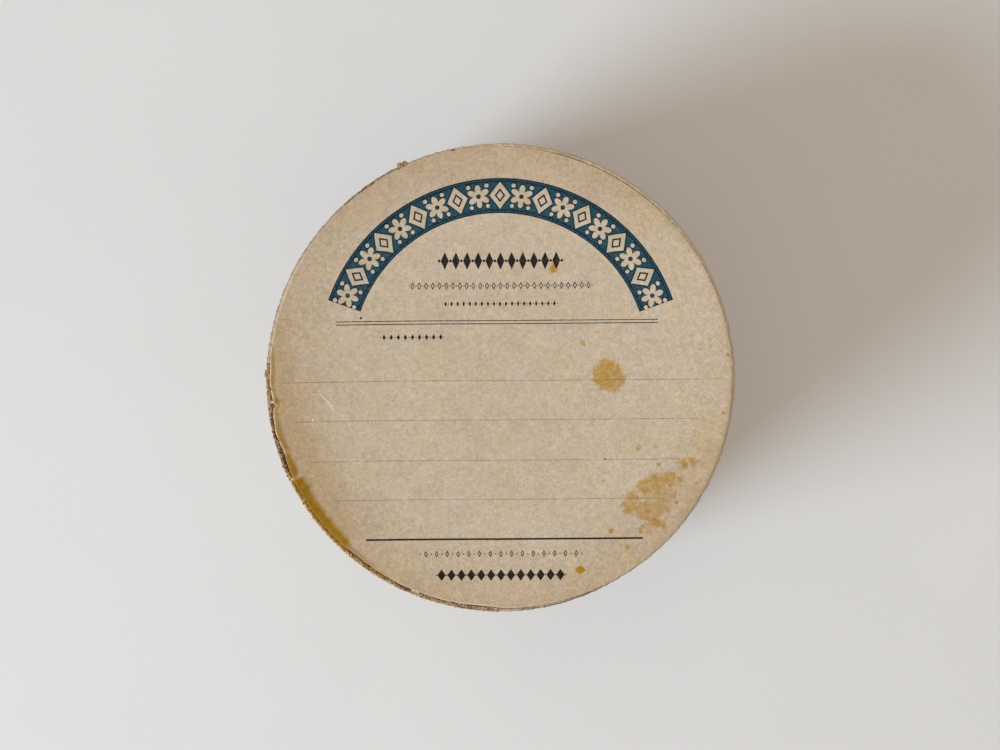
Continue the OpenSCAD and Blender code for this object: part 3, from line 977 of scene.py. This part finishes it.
def printType(paint, x, y, p, printed):  # rows of ornaments, rules and the lines to write on
    y = y + x.least(0.0) * x.least(0.0) * p["bowed"] - x.most(0.0) * p["leaning"]
    shapes = [typeRow(x, y, row) for row in p["rows"]] + [rule(x, y, *row) for row in p["rules"]]
    typed = paint.use("ink", {"Distance": gather("MINIMUM", shapes), "Starved": p["starved"]})
    paint.lay(typed["Ink"] * printed * 0.98, p["typeInk"])
    lines = gather("MINIMUM", [rule(x, y, *row, p["writingHalf"]) for row in p["writingLines"]])
    patchy = paint.grain(2.5, 3.0, 0.7).fade(0.3, 0.6, 0.30, 0.80)
    paint.lay(lines.fade(-0.02, 0.07) * patchy * printed, p["lineInk"])
    return typed["Ink"]


def soakStains(paint, x, y, s, printed):  # spills that ran together, single drops and specks
    soaked = []
    for spill in s["spills"]:
        out = gather("MINIMUM", [spot(x - atX, y - atY, size) for atX, atY, size in spill["rounds"]])
        out = out + (paint.grain(spill["rag"] * 0.6, 4.0, 0.6) - 0.5) * spill["rag"] * 1.7
        out = out + (paint.grain(0.22, 2.0) - 0.5) * 1.5
        tideLine = abs(out + 0.3).fade(0.0, 0.6) * 0.15
        inside = paint.grain(1.3, 4.0, 0.65).fade(0.32, 0.60, 0.55, 1.0) + tideLine
        soaked.append(out.fade(-0.55, 0.40) * inside.least(1.0) * spill["strong"])
    for atX, atY, size, ragged, strong in s["drops"]:
        drop = paint.use("blot", {"Centre": (atX, atY, 0.0), "Size": size, "Ragged": ragged})
        soaked.append(drop["Soaked"] * strong)
    paint.tint(gather("MAXIMUM", soaked) * printed, s["stain"])
    for specks, colour in ((s["specks"], s["speck"]), (s["paleSpecks"], s["scratch"])):
        for atX, atY, size in specks:
            paint.lay(spot(x - atX, y - atY, size).fade(-0.12, 0.04) * printed, colour)


def ageEdge(paint, s):  # oil that crept in, handling, browning, and the pale core at the cut edge, partly a painted highlight
    gap = paint.mark("edgeGap")
    creep = paint.mark("edgeStain") * (paint.grain(1.7, 4.0, 0.65) * 0.7 + 0.65)
    soaked = (gap / creep.most(0.05)).fade(0.5, 1.1) * paint.mark("stainStrength")
    paint.tint(soaked * paint.grain(1.1, 4.0, 0.6).fade(0.35, 0.6, 0.87, 1.0), s["edgeStain"])
    paint.tint(gap.fade(0.1, 1.4) * paint.grain(3.0, 4.0, 0.7) * 0.30, s["handled"])
    browned = gap.fade(0.0, 13.0) * (paint.grain(6.0, 4.0, 0.6) * 1.2 + 0.4)
    paint.tint(paint.mark("aged") * browned, s["brown"])
    # the pale cut edge: partly the paper's core, partly a painted highlight
    bright = gap.fade(0.06, 0.24) * paint.mark("edgeLight")
    paint.lay(bright * paint.grain(0.5, 4.0, 0.7).fade(0.38, 0.56, 0.15, 1.0), s["edgeCoreAndHighlight"])


def scratchShape(paint, x, y, s):  # a light scratch, slightly bowed
    u, v, (c, n) = x - s["scratchAt"][0], y - s["scratchAt"][1], s["scratchWay"]
    along, across = u * c - v * n, u * n + v * c
    line = bar(along, across + along * along * s["scratchBow"], *s["scratchHalf"])
    return line.fade(-0.02, 0.08) * paint.grain(0.6, 3.0).fade(0.3, 0.5, 0.3, 1.0)


def makeLabelMaterial(s, p):
    paint = Paint("printed label paper", 0.06)
    pulp = layPulp(paint, s)
    x, y, _ = axes(paint.tree, paint.place)
    tone = x * s["toneRight"] + y * s["toneUp"] + paint.grain(22.0, 2.0) * s["toneBroad"]
    tone = tone + paint.grain(3.6, 4.0, 0.6) * s["toneFine"] + s["tone"]
    paint.tint(1.0, addNode(paint.tree, "CombineColor", {0: tone, 1: tone, 2: tone}).outputs[0])
    upward = axes(paint.tree, addNode(paint.tree, "TexCoord").outputs["Normal"])[2]
    printed = upward.rise(0.3, 0.6)  # print and stains only on the upper face
    inked = printBand(paint, x, y, p, printed).most(printType(paint, x, y, p, printed)) * printed
    soakStains(paint, x, y, s, printed)
    ageEdge(paint, s)
    scratch = scratchShape(paint, x, y, s)
    paint.lay(scratch * 0.85, s["scratch"])
    return paint.finish((pulp["Fibre"] * 0.12 + 0.84) - inked * 0.40,
                        pulp["Height"] - inked * 0.25 + scratch * 0.6, s["relief"])


coverLook = {
    "light": (0.240, 0.163, 0.095), "dark": (0.170, 0.112, 0.062), "mottle": 1.7, "fibre": 0.30,
    "pink": (0.186, 0.110, 0.058), "patches": 0.45, "tints": ((1.0, 1.0, 1.05), (1.0, 0.985, 0.86)),
    "fibreShare": 1.0, "shadeColour": (0.74, 0.71, 0.66), "glints": 0.4,
    "flecks": 0.6, "fleckColour": (0.09, 0.052, 0.030), "hairs": 0.45, "hairColour": (0.325, 0.240, 0.155),
    "spotSize": 4.5, "spotShare": 0.16, "spotColour": (0.62, 0.42, 0.24), "tideColour": (0.82, 0.72, 0.56),
    "bare": (0.430, 0.325, 0.205), "bareShare": 0.80, "grime": (0.66, 0.54, 0.42),
    "seam": (0.125, 0.078, 0.042), "pale": (0.650, 0.530, 0.370), "pleats": (0.20, 0.135, 0.080),
    # the gap colour is painted shade with some dirt, in the step at the label's edge
    "gapShadeAndDirt": (0.125, 0.075, 0.036), "foldDirt": (0.050, 0.027, 0.018), "toning": 0.5, "relief": 0.025,
}
whiteLook = {
    **coverLook, "light": (0.735, 0.690, 0.585), "dark": (0.645, 0.585, 0.465), "mottle": 3.2,
    "pink": (0.66, 0.55, 0.40), "patches": 0.25, "tints": ((1.0, 1.0, 1.03), (1.0, 0.985, 0.88)),
    "fibreShare": 0.8, "shadeColour": (0.82, 0.80, 0.76), "glints": 0.3,
    "flecks": 0.3, "fleckColour": (0.40, 0.31, 0.22), "hairs": 0.25, "hairColour": (0.80, 0.76, 0.67),
    "spotColour": (0.62, 0.44, 0.24), "tideColour": (0.86, 0.78, 0.62), "bare": (0.30, 0.185, 0.085),
    "bareShare": 0.7, "grime": (0.50, 0.38, 0.25), "seam": (0.42, 0.30, 0.18), "toning": 0.35,
}
footLook = {
    **whiteLook, "light": (0.600, 0.525, 0.400), "dark": (0.500, 0.420, 0.300), "mottle": 3.0,
    "pink": (0.44, 0.315, 0.19), "fleckColour": (0.27, 0.18, 0.11), "hairColour": (0.66, 0.57, 0.44),
    "spotShare": 0.22, "spotColour": (0.62, 0.38, 0.17), "bareShare": 1.0, "toning": 0.6,
}


def layFold(paint, s):  # pale paper where it is folded over the rim, its pleats, a dark line of painted shade and dirt in the gap at the label's edge, and the dirt beside it
    palePart = paint.mark("pale")
    patchy = paint.grain(1.1, 4.0, 0.65)
    deeper = tuple(0.8 * c for c in s["pale"])
    paleColour = paint.mix(paint.grain(0.4, 4.0, 0.7).fade(0.3, 0.7), s["pale"], deeper)
    paint.lay(palePart * (patchy * 0.9 + 0.6), paleColour)
    x, y, _ = axes(paint.tree, paint.place)
    around = addNode(paint.tree, "CombineXYZ", {0: y.op("ARCTAN2", x) * lidR}).outputs[0]
    pleats = grain(paint.tree, around, 0.5, 3.0, 0.6).fade(0.30, 0.40) * palePart * 0.55
    paint.lay(pleats, s["pleats"])
    broken = paint.grain(0.55, 4.0, 0.7)
    # a broken dark line in the gap between the label's edge and the cover: painted shade with some dirt
    line = abs(paint.mark("labelGap") - 0.11).fade(0.06, 0.22) * paint.mark("gapShadeAndDirt")
    paint.lay(line * broken.fade(0.36, 0.56, 0.25, 1.0), s["gapShadeAndDirt"])
    paint.lay(paint.mark("foldDark") * broken.fade(0.34, 0.54, 0.15, 1.0), s["foldDirt"])


def makePaperMaterial(name, s, sheet):  # sheet: "cover", "neck" or "disc"
    paint = Paint(name)
    pulp = layPulp(paint, s)
    age = paint.use("foxing", {"Spot size": s["spotSize"], "Share": s["spotShare"]})
    paint.tint(age["Tide"] * s["toning"], s["tideColour"])
    paint.tint(age["Spots"] * 0.55, s["spotColour"])
    if sheet == "disc":
        rubbed, worn = paint.mark("edgeGap").fade(0.0, 1.1), 0.0
    else:
        rubbed, worn = paint.mark("rubbed"), paint.mark("worn")
        seam = paint.mark("seam").fade(0.10, 0.42) * (paint.grain(2.0, 3.0) * 0.8 + 0.35)
        paint.lay(seam * 0.6, s["seam"])
    wearing = paint.use("worn", {"Worn": worn, "Rubbed": rubbed, "Bare share": s["bareShare"]})
    paint.tint(wearing["Grime"] * 0.75, s["grime"])
    paint.lay(wearing["Bare"] * (0.8 if sheet == "cover" else 1.0), s["bare"])
    if sheet == "cover":
        layFold(paint, s)
    alongSheet = stretched(paint.tree, paint.place, (0.35, 0.35, 2.4))
    scuffs = grain(paint.tree, alongSheet, 1.3, 4.0, 0.7).rise(0.66, 0.74, 0.35)
    paint.lay(scuffs, s["hairColour"])
    return paint.finish(pulp["Fibre"] * 0.14 + 0.78,
                        pulp["Height"] - wearing["Bare"] * 0.7 + scuffs * 0.5, s["relief"])


boardLook = {
    "light": (0.430, 0.285, 0.138), "dark": (0.215, 0.122, 0.055), "mottle": 0.7, "fibre": 0.20,
    "pink": (0.40, 0.22, 0.10), "patches": 0.5, "tints": ((1.0, 1.0, 1.0), (1.0, 0.95, 0.84)),
    "fibreShare": 0.7, "shadeColour": (0.66, 0.62, 0.56), "glints": 0.7,
    "flecks": 0.7, "fleckColour": (0.12, 0.06, 0.03), "hairs": 0.6, "hairColour": (0.70, 0.58, 0.41),
    # the crack colour is painted shade with some dirt, in the crevice under the label's edge
    "crack": (0.052, 0.017, 0.010), "fuzz": (0.56, 0.42, 0.24), "dirt": (0.056, 0.019, 0.010),
    "oiled": (0.84, 0.70, 0.26), "relief": 0.06,
}


def makeBoardMaterial(s):
    paint = Paint("strawboard", 0.2)
    pulp = layPulp(paint, s)
    frayed = paint.mark("frayed")
    paint.lay(frayed * paint.grain(0.45, 4.0, 0.7).rise(0.42, 0.58, 0.6), s["fuzz"])
    paint.tint(paint.mark("oiled") * 0.9, s["oiled"])
    clumps = paint.grain(0.42, 5.0, 0.75) + paint.mark("dark") * 0.06
    paint.lay(frayed * clumps.rise(0.53, 0.60, 0.9), s["dirt"])
    # the crack between board and label painted near black: painted shade with some dirt
    paint.lay(paint.mark("crack").rise(0.08, 0.55, 0.95), s["crack"])
    return paint.finish(pulp["Fibre"] * 0.1 + 0.86, pulp["Height"] + pulp["Hair"] * 0.4, s["relief"])


frayLook = {
    "dark": (0.145, 0.070, 0.032), "middle": (0.43, 0.29, 0.155), "pale": (0.63, 0.52, 0.37),
    "shadeColour": (0.62, 0.56, 0.48), "relief": 0.04,
}


def makeFrayMaterial(s):  # loose fibres and scraps, each with its own tone
    paint = Paint("frayed pulp", 0.2)
    tone = paint.mark("tone")
    paint.colour = paint.mix(tone.rise(0.25, 0.6), s["dark"], s["middle"])
    paint.lay(tone.rise(0.6, 1.0), s["pale"])
    mottle = paint.grain(0.35, 4.0, 0.7)
    paint.tint(mottle.rise(0.42, 0.62, 0.6), s["shadeColour"])
    return paint.finish(mottle * 0.1 + 0.85, mottle, s["relief"])


labelPaper = makeLabelMaterial(labelLook, labelPrint)
coverPaper = makePaperMaterial("aged cover paper", coverLook, "cover")
neckWhite = makePaperMaterial("white neck paper", whiteLook, "neck")
liningWhite = makePaperMaterial("white lining paper", whiteLook, "disc")
footWhite = makePaperMaterial("foot paper", footLook, "disc")
board = makeBoardMaterial(boardLook)
fray = makeFrayMaterial(frayLook)
for nodeName in ("base_wall", "base_disc", "neck", "lid_disc"):
    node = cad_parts[nodeName]
    node.data.materials.clear()
    node.data.materials.append(board)
print("materials made")


# Pieces

whole = [(0, 1, 1, 0.0)]  # no worn place

makeCover("lid_cover", {
    "steps": 960, "r": lid["r"], "hemR": 43.5, "height": lid["high"] - lid["low"], "hem": 6.0,
    "flangeR": 38.85, "edgeZ": lid["low"], "up": 1, "notch": 3.0, "seed": 20, "wave": 0.05,
    "waveSize": 9.0, "pleat": 0.04, "seam": (116.0, 126.3), "faceEdge": labelRadius, "labelR": labelRadius,
    "foldPale": wear["foldPale"], "foldDark": wear["foldDark"], "gapShadeAndDirt": wear["gapShadeAndDirt"],
    "rimWorn": wear["rimWorn"], "rimWear": (0.55, 0.3),
    "openWorn": [(33, 41, 3, 0.7), (148, 153, 2, 0.5), (228, 246, 4, 0.8), (305, 309, 2, 0.5)],
    "openWear": (0.25, 0.35)}, coverPaper, "lid", ("lid_wrap",))

makeCover("base_cover", {
    "steps": 960, "r": base["r"], "hemR": 43.2, "height": base["high"] - 0.12, "hem": 6.0, "flangeR": 38.55,
    "edgeZ": base["high"], "up": -1, "notch": 3.0, "seed": 30, "wave": 0.05, "waveSize": 8.0,
    "pleat": 0.03, "seam": (205.0, 215.3), "faceEdge": None, "labelR": lambda a: 44.05 + 0 * a,
    "gapShadeAndDirt": [(0, 0.6), (120, 0.8), (240, 0.5)],
    "foldPale": [(0, 0.5), (40, 0.2), (90, 0.8), (150, 0.3), (200, 0.7), (260, 0.35), (300, 0.75)],
    "foldDark": [(0, 0.3), (60, 0.6), (130, 0.2), (170, 0.5), (240, 0.7), (280, 0.3)],
    "rimWorn": [(12, 31, 5, 0.8), (96, 102, 2, 0.6), (171, 196, 6, 0.9), (262, 270, 3, 0.7),
                (322, 327, 2, 0.6)],
    "rimWear": (0.5, 0.35), "openWorn": whole, "openWear": (0.2, 0.2)}, coverPaper, "box", ("base_wrap",))

plainSheet = {"thick": 0.12, "tabsTo": 0, "dip": 0.0, "dipWide": 1.0, "notchSink": 0.0, "turned": None}
makeDisc("label_sheet", {
    **plainSheet, "steps": 1440, "r": 44.35, "innerR": 36.0, "edge": labelRadius, "z": label["high"], "up": 1,
    "lines": [36.0, 36.7, 37.3, 37.65, 37.9, 38.15, 38.4, 38.65, 38.9, 39.4, 40.1, 40.9, 41.7, 42.4, 42.9,
              43.25, 43.5, 43.7, 43.85, 43.97, 44.07, 44.15, 44.22, 44.28, 44.35],
    "tabsTo": 38.85, "dip": 0.11, "dipWide": 9.0, "notchSink": 0.010, "cockle": 0.05, "cockleSize": 13.0,
    "away": 0.0, "seed": 40, "edgeLight": wear["labelEdgeLight"], "edgeStain": wear["labelStain"],
    "stainStrength": wear["stainStrength"], "aged": wear["labelAged"], "turned": wear["labelTurned"],
}, labelPaper, "lid", ("lid_label",))

liningLines = [0.0, 1.0, 2.0, 3.0, 3.7, 4.2, 4.6, 4.85, 5.0]
makeDisc("lid_lining_paper", {
    **plainSheet, "steps": 480, "r": 43.3, "innerR": 38.3, "lines": [38.3 + q for q in liningLines],
    "edge": lambda a: 43.3 + tornLine(a, 51, (60, 0.04), (240, 0.02)), "z": lidLining["low"], "up": -1,
    "cockle": 0.05, "cockleSize": 10.0, "away": 1.0, "seed": 50,
}, liningWhite, "lid", ("lid_lining",))

makeDisc("base_lining_paper", {
    **plainSheet, "steps": 480, "r": 41.7, "innerR": 36.7, "lines": [36.7 + q for q in liningLines],
    "edge": lambda a: 41.7 + tornLine(a, 56, (60, 0.05), (240, 0.03)), "z": baseLining["high"], "up": 1,
    "cockle": 0.06, "cockleSize": 11.0, "away": 1.0, "seed": 55,
}, liningWhite, "box", ("base_lining",))

makeDisc("foot_sheet", {
    **plainSheet, "steps": 960, "r": 44.05, "innerR": 36.0, "z": 0.0, "up": -1,
    "edge": lambda a: 44.05 + tornLine(a, 61, (80, 0.04), (300, 0.02)),
    "lines": [36.0, 36.8, 37.5, 37.8, 38.05, 38.3, 38.55, 39.0, 40.0, 41.2, 42.4, 43.2, 43.6, 43.85, 44.05],
    "tabsTo": 38.55, "dip": 0.15, "dipWide": 1.6, "notchSink": 0.03,
    "cockle": 0.03, "cockleSize": 12.0, "away": -1.0, "seed": 60,
}, footWhite, "box", ("base_paper",))

makeNeckPaper("neck_paper", {
    "steps": 720, "r": 43.2, "inR": 42.0, "top": neckPaper["high"], "round": 0.4, "outFrom": 16.0,
    "inTo": 1.62, "seed": 65, "wave": 0.05, "waveSize": 7.0, "crease": 0.012, "seam": (60.0, 66.0),
    "wear": (0.35, 0.3), "worn": [(38, 47, 3, 0.8), (104, 107, 1.5, 0.5), (151, 165, 4, 0.9),
                                  (236, 243, 2, 0.7), (318, 326, 3, 0.7)],
}, neckWhite, "box", ("neck_cover",))

makeLidBoard("lid_board", {
    "steps": 1920, "r": lidBoard["r"], "bore": 43.65, "low": lidBoard["low"], "top": lidBoard["high"],
    "round": 0.35, "frayDown": 1.3, "fray": 0.13, "crack": 0.22}, board, "lid", ("lid_wall",))

frayZones = [(184, 200, 1.2), (200, 246, 3.0), (246, 270, 1.6), (122.5, 127.5, 0.5), (128.5, 132.5, 0.45),
             (113.5, 116.5, 0.35), (176, 181, 0.5), (100.8, 102, 0.1)]
makeFibres("rim_fibres", {"seed": 70, "count": 320, "from": (44.2, 44.85), "z": 37.86, "length": 0.35,
                          "longest": 0.9, "thick": (0.018, 0.045), "zones": frayZones}, fray, "lid")
makeCrumbs("rim_crumbs", {"seed": 75, "count": 300, "from": (44.2, 45.02), "z": 37.84, "size": 0.095,
                          "zones": frayZones}, fray, "lid")
boardScrap = {"root": 0.5, "z": 37.85, "rise": -0.3, "crumple": 0.22, "thick": 0.14}
paperScrap = {"root": 0.5, "z": 37.98, "rise": 0.0, "crumple": 0.06, "thick": 0.08, "tone": 1.0}
makeFlakes("rim_flakes", {"flakes": [
    {**boardScrap, "at": 114.1, "wide": 1.3, "out": 0.45, "tone": 0.5},
    {**boardScrap, "at": 115.4, "wide": 1.3, "out": 0.6, "tone": 0.62},
    {**boardScrap, "at": 179.2, "wide": 2.0, "out": 0.24, "z": 37.8, "crumple": 0.2, "tone": 0.42},
    {**boardScrap, "at": 202.5, "wide": 0.8, "out": 0.38, "root": 0.4, "z": 37.8, "crumple": 0.2,
     "thick": 0.12, "tone": 0.42},
    {**paperScrap, "at": 206.2, "wide": 0.5, "out": -0.3, "root": 0.8, "z": 38.05},
    {**paperScrap, "at": 229.6, "wide": 0.9, "out": 0.05, "rise": -0.1},
    {**paperScrap, "at": 248.4, "wide": 1.7, "out": -0.75, "root": 1.05, "z": 38.08},
    {**paperScrap, "at": 186.3, "wide": 0.5, "out": -0.5, "root": 1.35, "z": 38.06, "rise": 0.05,
     "crumple": 0.08},
]}, fray, "lid")


# Floor, light and camera

stageSet = {
    "floor": (0.690, 0.682, 0.664), "floorGrain": 0.010, "floorRough": 0.6, "floorSize": 12.0,  # metres
    "background": (0.72, 0.71, 0.695), "fill": (0.440, 0.374, 0.303),  # what the camera sees, what lights
    "cameraAbove": 0.2665, "cameraY": 0.000384, "lens": 50.0,  # above the label, in metres
}
lamps = [  # a wide window at the lower left and a lamp over the table
    {"name": "window", "azimuth": 208.4, "height": 17.5, "away": 2.06, "size": (1.09, 0.87),
     "power": 79.9, "colour": (0.722, 0.853, 1.0)},
    {"name": "ceiling lamp", "azimuth": 0.0, "height": 89.9, "away": 0.61, "size": (0.12, 0.12),
     "power": 0.683, "colour": (1.0, 0.916, 0.862)},
]


def makeFloor(s):
    bpy.ops.mesh.primitive_plane_add(size=s["floorSize"], location=(0, 0, -0.02 * mm))
    floor = bpy.context.object
    floor.name = "floor"
    paint = Paint("pale table top")
    darker = tuple(0.985 * c for c in s["floor"])
    paint.colour = paint.mix(paint.grain(60.0, 2.0).rise(0.35, 0.65), s["floor"], darker)
    leather = addNode(paint.tree, "TexVoronoi", {"Vector": paint.place, "Scale": 0.9}, feature="SMOOTH_F1")
    height = Value(paint.tree, leather.outputs["Distance"]) + paint.grain(0.8, 3.0)
    floor.data.materials.append(paint.finish(s["floorRough"], height, s["floorGrain"]))


def makeWorld(s):
    world = bpy.data.worlds.new("studio")
    bpy.context.scene.world = world
    world.use_nodes = True
    tree = world.node_tree
    back = tree.nodes["Background"]
    path = addNode(tree, "LightPath")
    rays = ("Is Camera Ray", "Is Glossy Ray", "Is Transmission Ray")
    seen = gather("MAXIMUM", [Value(tree, path.outputs[ray]) for ray in rays])
    plug(tree, back.inputs["Color"], blend(tree, seen, s["fill"], s["background"]))
    back.inputs["Strength"].default_value = 1.0


def makeLamp(s):
    lamp = bpy.data.lights.new(s["name"], "AREA")
    lamp.shape = "ELLIPSE"
    lamp.size, lamp.size_y = s["size"]
    lamp.energy, lamp.color = s["power"], s["colour"]
    holder = bpy.data.objects.new(s["name"], lamp)
    bpy.context.scene.collection.objects.link(holder)
    a, e = math.radians(s["azimuth"]), math.radians(s["height"])
    way = Vector((math.cos(a) * math.cos(e), math.sin(a) * math.cos(e), math.sin(e)))
    holder.location = way * s["away"]
    holder.rotation_euler = way.to_track_quat("Z", "Y").to_euler()
    holder.visible_camera = False


def makeCamera(s):
    camera = bpy.data.cameras.new("camera")
    camera.lens, camera.sensor_width = s["lens"], 36.0
    camera.clip_start, camera.clip_end = 0.01, 20.0
    holder = bpy.data.objects.new("camera", camera)
    bpy.context.scene.collection.objects.link(holder)
    holder.location = (0, s["cameraY"], label["high"] * mm + s["cameraAbove"])
    bpy.context.scene.camera = holder


makeFloor(stageSet)
makeWorld(stageSet)
for lamp in lamps:
    makeLamp(lamp)
makeCamera(stageSet)
bpy.context.scene.view_settings.view_transform = "Standard"
print("floor, light and camera made")
